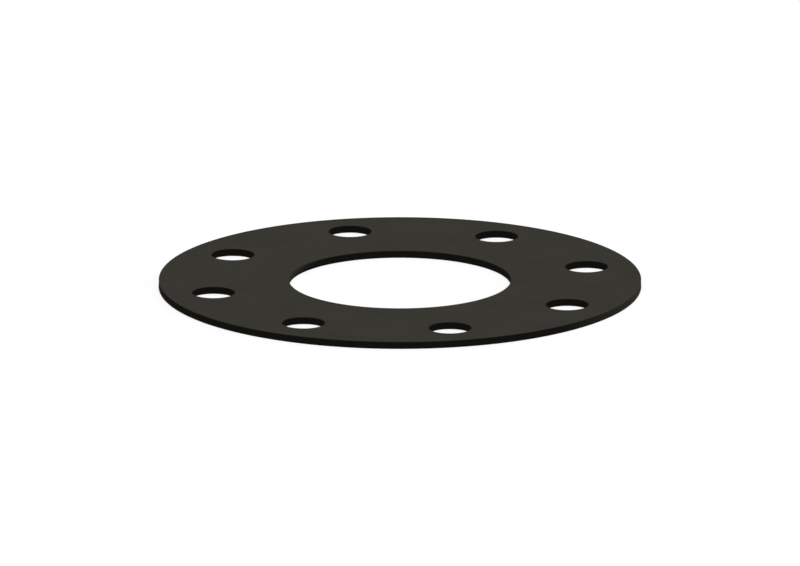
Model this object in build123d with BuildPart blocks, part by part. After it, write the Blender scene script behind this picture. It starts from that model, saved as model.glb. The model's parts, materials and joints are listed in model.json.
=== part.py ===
"""Full-face gasket for a DN 80 pipe flange: a flat rubber ring with a bore and a circle of bolt holes.

Units are millimetres. The origin is the centre of the lower sealing face, +Z runs up through the bore, and
the first bolt hole lies on +X. The gasket covers the whole flange face, so the flange bolts pass through it
and hold it on centre.
"""

from build123d import *

import os

# The ring of sheet rubber
rim_diameter = 200.0  # level with the rim of the flange
bore_diameter = 92.0  # opens onto the pipe with a few millimetres to spare
sheet_thickness = 3.0

# The bolt holes
bolt_count = 8
bolt_diameter = 16.0
bolt_clearance = 2.0  # by how much a hole is wider than its bolt
rim_land = 11.0  # rubber left between a bolt hole and the rim

bolt_hole_diameter = bolt_diameter + bolt_clearance
bolt_circle_diameter = rim_diameter - 2 * rim_land - bolt_hole_diameter

# One stroke of the cutting die makes the rim, the bore and every bolt hole, so all are in a single outline,
# and the cut walls stand square to the sheet.
with BuildPart() as gasket:
    with BuildSketch() as cut_outline:
        Circle(rim_diameter / 2)
        Circle(bore_diameter / 2, mode=Mode.SUBTRACT)
        with PolarLocations(bolt_circle_diameter / 2, bolt_count):
            Circle(bolt_hole_diameter / 2, mode=Mode.SUBTRACT)
    extrude(amount=sheet_thickness)

gasket.part.label = "gasket"

os.makedirs("parts", exist_ok=True)
export_step(gasket.part, "parts/gasket.step")
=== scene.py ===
"""A full-face rubber flange gasket, die-cut from matte sheet, lying on a plain pale studio floor.

Lengths are in metres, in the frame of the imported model: the origin is the centre of the lower sealing
face, +Z runs up through the bore, and the first bolt hole lies on +X.
"""

import json
import logging
import math
from dataclasses import dataclass
from enum import IntEnum
from typing import Any

import bmesh
import bpy
from mathutils import Matrix, Vector


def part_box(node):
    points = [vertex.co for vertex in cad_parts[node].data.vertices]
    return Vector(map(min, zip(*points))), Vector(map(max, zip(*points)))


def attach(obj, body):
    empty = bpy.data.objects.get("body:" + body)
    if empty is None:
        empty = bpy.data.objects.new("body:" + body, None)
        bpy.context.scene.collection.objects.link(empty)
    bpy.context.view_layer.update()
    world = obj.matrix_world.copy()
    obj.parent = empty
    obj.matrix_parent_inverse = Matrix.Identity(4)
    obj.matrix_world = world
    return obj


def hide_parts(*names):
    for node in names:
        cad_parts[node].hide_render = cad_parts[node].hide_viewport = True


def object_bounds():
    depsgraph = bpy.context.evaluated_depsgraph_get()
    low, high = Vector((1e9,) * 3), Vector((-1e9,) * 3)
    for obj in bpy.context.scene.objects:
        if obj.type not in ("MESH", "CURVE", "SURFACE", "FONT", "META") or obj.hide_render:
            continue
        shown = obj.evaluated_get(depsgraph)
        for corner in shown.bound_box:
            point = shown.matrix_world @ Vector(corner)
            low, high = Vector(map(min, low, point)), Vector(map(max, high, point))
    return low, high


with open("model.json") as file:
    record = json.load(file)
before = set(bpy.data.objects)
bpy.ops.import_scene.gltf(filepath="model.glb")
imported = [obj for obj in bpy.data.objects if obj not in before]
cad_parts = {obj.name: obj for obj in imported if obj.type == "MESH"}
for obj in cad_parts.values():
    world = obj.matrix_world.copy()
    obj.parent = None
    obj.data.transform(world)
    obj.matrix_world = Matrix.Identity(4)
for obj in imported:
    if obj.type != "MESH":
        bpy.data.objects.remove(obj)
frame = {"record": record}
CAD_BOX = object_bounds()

LOG = logging.getLogger("gasket")

MM = 0.001
UP = Vector((0, 0, 1))

MeshPart = bmesh.types.BMVert | bmesh.types.BMEdge | bmesh.types.BMFace
Colour = tuple[float, float, float]
WHITE: Colour = (1.0, 1.0, 1.0)


class Surface(IntEnum):
    """The surfaces of the gasket, in the order of its material slots."""

    FACE = 0
    WALL = 1


@dataclass(frozen=True)
class Grain:
    """A cloudy pattern in the rubber."""

    patch: tuple[float, float, float]  # the length of one patch along X, Y and Z
    detail: float  # how many finer octaves it has
    share: float  # its part in the marks of the surface


class Value:
    """A number that varies over a surface, wrapped so that shader maths reads as an expression."""

    def __init__(self, graph: "Graph", socket: bpy.types.NodeSocket) -> None:
        """Wraps an output socket of a graph."""
        self.graph = graph
        self.socket = socket

    def _maths(self, operation: str, first: "Value | float", second: "Value | float") -> "Value":
        """Adds one Math node and gives its result."""
        node = self.graph.add("ShaderNodeMath", {"operation": operation}, {0: first, 1: second})
        return Value(self.graph, node.outputs[0])

    def __add__(self, other: "Value | float") -> "Value":
        """Adds a number or a Value."""
        return self._maths("ADD", self, other)

    def __radd__(self, other: "Value | float") -> "Value":
        """Adds this value to a number."""
        return self._maths("ADD", other, self)

    def __sub__(self, other: "Value | float") -> "Value":
        """Takes a number or a Value away."""
        return self._maths("SUBTRACT", self, other)

    def __rsub__(self, other: "Value | float") -> "Value":
        """Takes this value away from a number."""
        return self._maths("SUBTRACT", other, self)

    def __mul__(self, other: "Value | float") -> "Value":
        """Multiplies by a number or a Value."""
        return self._maths("MULTIPLY", self, other)

    def __rmul__(self, other: "Value | float") -> "Value":
        """Multiplies a number by this value."""
        return self._maths("MULTIPLY", other, self)

    def larger(self, other: "Value | float") -> "Value":
        """Gives the larger of this value and another."""
        return self._maths("MAXIMUM", self, other)


class Graph:
    """The node tree of a material or of the world, emptied and ready to be filled."""

    def __init__(self, tree: bpy.types.NodeTree) -> None:
        """Empties the tree."""
        self.tree = tree
        self.tree.nodes.clear()

    def add(
        self,
        kind: str,
        settings: dict[str, Any] | None = None,
        inputs: dict[str | int, Any] | None = None,
    ) -> bpy.types.Node:
        """Adds a node, with its settings first and then what feeds it.

        Args:
            kind: the node's type, such as ShaderNodeBump.
            settings: the node's own properties.
            inputs: a constant, a Value or an output socket for each input, by identifier, name or index.

        Returns:
            The new node.
        """
        node = self.tree.nodes.new(kind)
        for name, setting in (settings or {}).items():
            setattr(node, name, setting)
        for key, given in (inputs or {}).items():
            socket = self._socket(node.inputs, key)
            source = given.socket if isinstance(given, Value) else given
            if isinstance(source, bpy.types.NodeSocket):
                self.tree.links.new(source, socket)
            else:
                socket.default_value = source
        return node

    @staticmethod
    def _socket(sockets: bpy.types.bpy_prop_collection, key: str | int) -> bpy.types.NodeSocket:
        """Finds a socket.

        Args:
            sockets: a node's inputs or outputs.
            key: the socket's identifier, name or index.

        Returns:
            The socket.
        """
        if isinstance(key, int):
            return sockets[key]
        by_identifier = {socket.identifier: socket for socket in sockets}
        return by_identifier[key] if key in by_identifier else sockets[key]

    def noise(self, grain: Grain) -> Value:
        """Adds a cloudy pattern that is fixed to the object.

        Args:
            grain: the pattern.

        Returns:
            The pattern's value, between -0.5 and 0.5.
        """
        place = self.add("ShaderNodeTexCoord").outputs["Object"]
        scale = Vector(1 / length for length in grain.patch)
        scaled = self.add("ShaderNodeMapping", inputs={"Vector": place, "Scale": scale}).outputs[0]
        inputs = {"Vector": scaled, "Scale": 1.0, "Detail": grain.detail}
        return Value(self, self.add("ShaderNodeTexNoise", inputs=inputs).outputs[0]) - 0.5

    def blend(self, low: Colour, high: Colour, factor: Value) -> bpy.types.NodeSocket:
        """Mixes two colours.

        Args:
            low: the colour where the factor is 0.
            high: the colour where the factor is 1.
            factor: how much of the high colour shows.

        Returns:
            The mixed colour.
        """
        mix = self.add(
            "ShaderNodeMix",
            {"data_type": "RGBA", "clamp_factor": True},
            {"Factor_Float": factor, "A_Color": (*low, 1.0), "B_Color": (*high, 1.0)},
        )
        return self._socket(mix.outputs, "Result_Color")

    def seen_directly(self) -> Value:
        """Tells the rays that show a background from those that only carry its light.

        Returns:
            1 for camera, glossy and transmission rays, and 0 for the rest.
        """
        path = self.add("ShaderNodeLightPath").outputs
        camera, glossy, through = (
            Value(self, path[name]) for name in ("Is Camera Ray", "Is Glossy Ray", "Is Transmission Ray")
        )
        return camera.larger(glossy).larger(through)


def new_material(name: str) -> tuple[bpy.types.Material, Graph]:
    """Makes a material with an empty graph.

    Args:
        name: the material's name.

    Returns:
        The material and its graph.
    """
    material = bpy.data.materials.new(name)
    material.use_nodes = True
    return material, Graph(material.node_tree)


def put_in_scene(name: str, data: bpy.types.ID) -> bpy.types.Object:
    """Makes an object and links it to the scene.

    Args:
        name: the object's name.
        data: its mesh, lamp or camera.

    Returns:
        The object, at the origin.
    """
    thing = bpy.data.objects.new(name, data)
    bpy.context.scene.collection.objects.link(thing)
    return thing


def verts_among(parts: list[MeshPart]) -> list[bmesh.types.BMVert]:
    """Picks the vertices out of the parts that a mesh operator returns."""
    return [part for part in parts if isinstance(part, bmesh.types.BMVert)]


@dataclass(frozen=True)
class DullRubber:
    """What each finish of the rubber shares: two tones to vary between, and hardly any gloss."""

    deep: Colour  # the blackest tone
    bloomed: Colour  # the palest tone, where wax has come to the surface
    roughness: float
    roughness_spread: float
    specular: float
    relief_depth: float

    def dress(self, graph: Graph, tone: Value, dullness: Value, relief: Value) -> None:
        """Fills in the shader.

        Args:
            graph: the graph of the material.
            tone: how far the colour is from deep to bloomed, about 0.
            dullness: how much duller the surface is than its mean roughness, about 0.
            relief: the height of the surface's grain, about 0.
        """
        bump = graph.add("ShaderNodeBump", inputs={"Distance": self.relief_depth, "Height": relief})
        shader = graph.add(
            "ShaderNodeBsdfPrincipled",
            inputs={
                "Base Color": graph.blend(self.deep, self.bloomed, tone + 0.5),
                "Roughness": self.roughness + dullness * self.roughness_spread,
                "Specular IOR Level": self.specular,
                "Normal": bump.outputs[0],
            },
        )
        graph.add("ShaderNodeOutputMaterial", inputs={"Surface": shader.outputs[0]})


@dataclass(frozen=True)
class CalenderedFace(DullRubber):
    """The matte face of the sheet as it leaves the calender: pebble grain, long streaks and bloom."""

    deep: Colour = (0.0230, 0.0221, 0.0172)
    bloomed: Colour = (0.0459, 0.0445, 0.0360)
    roughness: float = 0.84
    roughness_spread: float = 0.14
    specular: float = 0.006
    relief_depth: float = 0.060 * MM
    pebble: Grain = Grain((0.45 * MM, 0.45 * MM, 0.45 * MM), detail=3.0, share=0.50)
    streak: Grain = Grain((45 * MM, 1.1 * MM, 1.1 * MM), detail=3.0, share=0.35)
    bloom: Grain = Grain((30 * MM, 30 * MM, 30 * MM), detail=4.0, share=0.50)

    def material(self) -> bpy.types.Material:
        """Builds the finish.

        Returns:
            The material.
        """
        material, graph = new_material("calendered_face")
        pebble, streak, bloom = (graph.noise(grain) for grain in (self.pebble, self.streak, self.bloom))
        tone = pebble * self.pebble.share + streak * self.streak.share + bloom * self.bloom.share
        self.dress(graph, tone, dullness=bloom, relief=pebble)
        return material


@dataclass(frozen=True)
class DieCutWall(DullRubber):
    """The wall that the cutting die leaves: fine score lines down it, and a torn grain across them."""

    deep: Colour = (0.0221, 0.0209, 0.0167)
    bloomed: Colour = (0.0432, 0.0410, 0.0331)
    roughness: float = 0.80
    roughness_spread: float = 0.16
    specular: float = 0.003
    relief_depth: float = 0.060 * MM
    score: Grain = Grain((0.30 * MM, 0.30 * MM, 5 * MM), detail=2.0, share=0.7)
    tear: Grain = Grain((0.22 * MM, 0.22 * MM, 0.22 * MM), detail=2.0, share=0.3)

    def material(self) -> bpy.types.Material:
        """Builds the finish.

        Returns:
            The material.
        """
        material, graph = new_material("die_cut_wall")
        marks = graph.noise(self.score) * self.score.share + graph.noise(self.tear) * self.tear.share
        self.dress(graph, marks, dullness=marks, relief=marks)
        return material


@dataclass
class Gasket:
    """The die-cut ring of sheet rubber, with its bore and its circle of bolt holes."""

    rim_radius: float
    bore_radius: float
    bolt_circle_radius: float
    hole_radius: float
    bolt_count: int
    underside: float  # the height of the lower sealing face
    thickness: float
    arris_radius: float = 0.08 * MM  # the rounding between a face and a wall
    dish_depth: float = 0.05 * MM  # how far the middle of a wall is hollowed
    rim_steps: int = 52  # along one bolt hole's share of the rim
    bore_steps: int = 20  # along its share of the bore
    side_steps: int = 28  # from the rim to the bore, between two shares
    arris_steps: int = 3
    wall_rows: int = 6
    weld: float = 0.001 * MM  # how near two vertices are when they are one
    arris_angle: float = math.radians(60)  # how sharply the sheet turns at an arris
    flat_within: float = math.radians(1)  # how far a face of the sheet may tilt

    @classmethod
    def from_frame(cls, node: str, record: dict[str, Any]) -> "Gasket":
        """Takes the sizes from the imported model.

        Args:
            node: the CAD node of the gasket.
            record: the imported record, whose mounts give the bore and the bolt holes.

        Returns:
            A gasket of the model's sizes.
        """
        low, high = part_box(node)
        mounts = {mount["name"]: mount["dims"] for mount in record["mounts"]}
        return cls(
            rim_radius=high.x,
            bore_radius=mounts["bore"]["r_mm"] * MM,
            bolt_circle_radius=mounts["bolt_holes"]["pcd_mm"] * MM / 2,
            hole_radius=mounts["bolt_holes"]["hole_r_mm"] * MM,
            bolt_count=mounts["bolt_holes"]["count"],
            underside=low.z,
            thickness=high.z - low.z,
        )

    @property
    def share(self) -> float:
        """The angle of the sheet that belongs to one bolt hole."""
        return math.tau / self.bolt_count

    def draw_border(self, mesh: bmesh.types.BMesh) -> None:
        """Draws the border of the first bolt hole's share of the sheet.

        It has an arc of the rim, an arc of the bore, and a straight side at each end of them.

        Args:
            mesh: the empty mesh to draw in.
        """
        turn = Matrix.Rotation(-self.share / 2, 3, UP)
        ends = []
        for radius, steps in ((self.rim_radius, self.rim_steps), (self.bore_radius, self.bore_steps)):
            start = bmesh.ops.create_vert(mesh, co=turn @ Vector((radius, 0, self.underside)))["vert"]
            arc = bmesh.ops.spin(mesh, geom=start, axis=UP, cent=Vector(), angle=self.share, steps=steps)
            ends.append((start[0], arc["geom_last"][0]))
        sides = [mesh.edges.new(pair) for pair in zip(*ends)]
        bmesh.ops.subdivide_edges(mesh, edges=sides, cuts=self.side_steps - 1)

    def fill_share(self, mesh: bmesh.types.BMesh) -> None:
        """Cuts the bolt hole on +X and fills the sheet between it and the border.

        Args:
            mesh: the mesh that holds only the border.
        """
        # With one step of the hole for each edge of the border, the bridge pairs them one to one.
        steps = len(mesh.edges)
        centre = Matrix.Translation((self.bolt_circle_radius, 0, self.underside))
        bmesh.ops.create_circle(mesh, segments=steps, radius=self.hole_radius, matrix=centre)
        bmesh.ops.bridge_loops(mesh, edges=mesh.edges[:])

    def repeat_share(self, mesh: bmesh.types.BMesh) -> None:
        """Turns the share round the bore, once for each bolt hole, and welds the sides.

        Args:
            mesh: the mesh that holds one share.
        """
        bmesh.ops.spin(
            mesh,
            geom=mesh.verts[:] + mesh.edges[:] + mesh.faces[:],
            axis=UP,
            cent=Vector(),
            angle=math.tau - self.share,
            steps=self.bolt_count - 1,
            use_duplicate=True,
        )
        bmesh.ops.remove_doubles(mesh, verts=mesh.verts, dist=self.weld)

    def thicken(self, mesh: bmesh.types.BMesh) -> None:
        """Raises the flat ring into a sheet with walls.

        Args:
            mesh: the mesh that holds the flat ring.
        """
        raised = bmesh.ops.extrude_face_region(mesh, geom=mesh.faces[:], use_keep_orig=True)["geom"]
        bmesh.ops.translate(mesh, verts=verts_among(raised), vec=UP * self.thickness)
        bmesh.ops.recalc_face_normals(mesh, faces=mesh.faces)

    def soften_arrises(self, mesh: bmesh.types.BMesh) -> None:
        """Rounds the edges between the faces and the walls, where the die draws the rubber in.

        Args:
            mesh: the mesh that holds the square-edged sheet.
        """
        bmesh.ops.bevel(
            mesh,
            geom=[edge for edge in mesh.edges if edge.calc_face_angle() > self.arris_angle],
            offset=self.arris_radius,
            offset_type="OFFSET",
            segments=self.arris_steps,
            profile=0.5,
            affect="EDGES",
            material=-1,
        )

    def dish_walls(self, mesh: bmesh.types.BMesh) -> None:
        """Hollows the walls slightly, as rubber springs back from the die.

        Args:
            mesh: the mesh that holds the sheet with soft arrises.
        """
        wall_height = self.thickness - 2 * self.arris_radius
        middle = self.underside + self.thickness / 2
        uprights = [
            edge for edge in mesh.edges if abs(edge.verts[0].co.z - edge.verts[1].co.z) > wall_height / 2
        ]
        cut = bmesh.ops.subdivide_edges(mesh, edges=uprights, cuts=self.wall_rows - 1)["geom_inner"]
        mesh.normal_update()
        for vert in verts_among(cut):
            from_middle = 2 * (vert.co.z - middle) / wall_height
            vert.co -= vert.normal * self.dish_depth * (1 - from_middle**2)

    def dress(self, mesh: bpy.types.Mesh) -> None:
        """Gives the faces and the walls their finishes.

        Args:
            mesh: the mesh of the finished sheet.
        """
        finishes = {Surface.FACE: CalenderedFace(), Surface.WALL: DieCutWall()}
        for surface in Surface:
            mesh.materials.append(finishes[surface].material())
        for face in mesh.polygons:
            flat = abs(face.normal.z) > math.cos(self.flat_within)
            face.material_index = Surface.FACE if flat else Surface.WALL
            face.use_smooth = not flat

    def build(self) -> bpy.types.Object:
        """Models the gasket and dresses it.

        Returns:
            The finished object.
        """
        mesh = bmesh.new()
        self.draw_border(mesh)
        self.fill_share(mesh)
        self.repeat_share(mesh)
        self.thicken(mesh)
        self.soften_arrises(mesh)
        self.dish_walls(mesh)
        data = bpy.data.meshes.new("gasket_sheet")
        mesh.to_mesh(data)
        mesh.free()
        self.dress(data)
        return put_in_scene("gasket_sheet", data)


@dataclass(frozen=True)
class PaleFloor:
    """A pale floor that reads as white, keeps the gasket's shadow, and throws little light back up."""

    glow: float = 1.03  # the strength of the white that no shadow reaches
    lit_share: float = 0.8  # how much of the white the lamps light, and so takes the shadow
    bounce: Colour = (0.18, 0.18, 0.18)  # its colour for the light that it throws back up

    def material(self) -> bpy.types.Material:
        """Builds the finish.

        Returns:
            The material.
        """
        material, graph = new_material("pale_floor")
        glow = graph.add("ShaderNodeEmission", inputs={"Strength": self.glow})
        lit = graph.add("ShaderNodeBsdfDiffuse", inputs={"Color": (*WHITE, 1.0)})
        dull = graph.add("ShaderNodeBsdfDiffuse", inputs={"Color": (*self.bounce, 1.0)})
        white = graph.add(
            "ShaderNodeMixShader", inputs={0: self.lit_share, 1: glow.outputs[0], 2: lit.outputs[0]}
        )
        surface = graph.add(
            "ShaderNodeMixShader",
            inputs={0: graph.seen_directly(), 1: dull.outputs[0], 2: white.outputs[0]},
        )
        graph.add("ShaderNodeOutputMaterial", inputs={"Surface": surface.outputs[0]})
        return material


def direction(azimuth: float, elevation: float) -> Vector:
    """Turns a pair of angles into a direction.

    Args:
        azimuth: degrees round from -Y, towards +X.
        elevation: degrees above the floor.

    Returns:
        The unit vector that points there.
    """
    around, above = math.radians(azimuth), math.radians(elevation)
    level = math.cos(above)
    return Vector((math.sin(around) * level, -math.cos(around) * level, math.sin(above)))


def aim_from(thing: bpy.types.Object, back: Vector) -> None:
    """Turns a lamp or a camera so that it looks in from a direction, with its top upwards."""
    thing.rotation_euler = back.to_track_quat("Z", "Y").to_euler()


@dataclass(frozen=True)
class Lamp:
    """A distant lamp, whose light falls at the same angle and level everywhere."""

    name: str
    azimuth: float
    elevation: float
    level: float  # how bright it makes a white card that faces it
    spread: float  # how many degrees it is across, which softens its shadow

    def hang(self) -> None:
        """Adds the lamp to the scene, turned so that its light comes from its azimuth and elevation."""
        data = bpy.data.lights.new(self.name, "SUN")
        data.energy = self.level * math.pi
        data.angle = math.radians(self.spread)
        aim_from(put_in_scene(self.name, data), direction(self.azimuth, self.elevation))


@dataclass
class Studio:
    """The floor, the lamps, the surroundings and the camera, set up round the box of the gasket."""

    low: Vector
    high: Vector
    camera_azimuth: float = 30.0
    camera_elevation: float = 15.0
    camera_distance: float = 1.0
    view_width: float = 331.6 * MM
    floor_size: float = 12.0
    floor_gap: float = 0.02 * MM  # between the floor and the lower sealing face
    ambient: float = 0.168  # how brightly the surroundings light the gasket
    lamps: tuple[Lamp, ...] = (
        Lamp("overhead", azimuth=170.0, elevation=88.0, level=0.825, spread=15.0),
        Lamp("side", azimuth=161.0, elevation=3.0, level=0.80, spread=4.0),
    )

    def lay_floor(self) -> None:
        """Lays the floor just under the gasket."""
        mesh = bmesh.new()
        level = Matrix.Translation((0, 0, self.low.z - self.floor_gap))
        bmesh.ops.create_grid(mesh, x_segments=1, y_segments=1, size=self.floor_size / 2, matrix=level)
        data = bpy.data.meshes.new("floor")
        mesh.to_mesh(data)
        mesh.free()
        data.materials.append(PaleFloor().material())
        put_in_scene("floor", data)

    def surround(self) -> None:
        """Closes the studio with plain white, which lights the gasket only softly."""
        world = bpy.data.worlds.new("studio")
        world.use_nodes = True
        graph = Graph(world.node_tree)
        strength = graph.seen_directly() * (1 - self.ambient) + self.ambient
        white = {"Color": (*WHITE, 1.0), "Strength": strength}
        backdrop = graph.add("ShaderNodeBackground", inputs=white)
        graph.add("ShaderNodeOutputWorld", inputs={"Surface": backdrop.outputs[0]})
        bpy.context.scene.world = world

    def place_camera(self) -> None:
        """Aims a camera without perspective at the middle of the gasket."""
        data = bpy.data.cameras.new("camera")
        data.type = "ORTHO"
        data.ortho_scale = self.view_width
        camera = put_in_scene("camera", data)
        back = direction(self.camera_azimuth, self.camera_elevation)
        camera.location = (self.low + self.high) / 2 + back * self.camera_distance
        aim_from(camera, back)
        bpy.context.scene.camera = camera

    def build(self) -> None:
        """Sets the studio up."""
        self.lay_floor()
        self.surround()
        for lamp in self.lamps:
            lamp.hang()
        self.place_camera()
        bpy.context.scene.view_settings.view_transform = "Standard"


def main() -> None:
    """Builds the gasket and the studio."""
    logging.basicConfig(level=logging.INFO, format="%(name)s: %(message)s")

    gasket = Gasket.from_frame("gasket", frame["record"])
    sheet = gasket.build()
    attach(sheet, "root")
    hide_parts("gasket")
    LOG.info("%s: %d faces, %d bolt holes", sheet.name, len(sheet.data.polygons), gasket.bolt_count)

    studio = Studio(*CAD_BOX)
    studio.build()
    LOG.info("studio: floor, camera and %d lamps", len(studio.lamps))


if __name__ == "__main__":
    main()
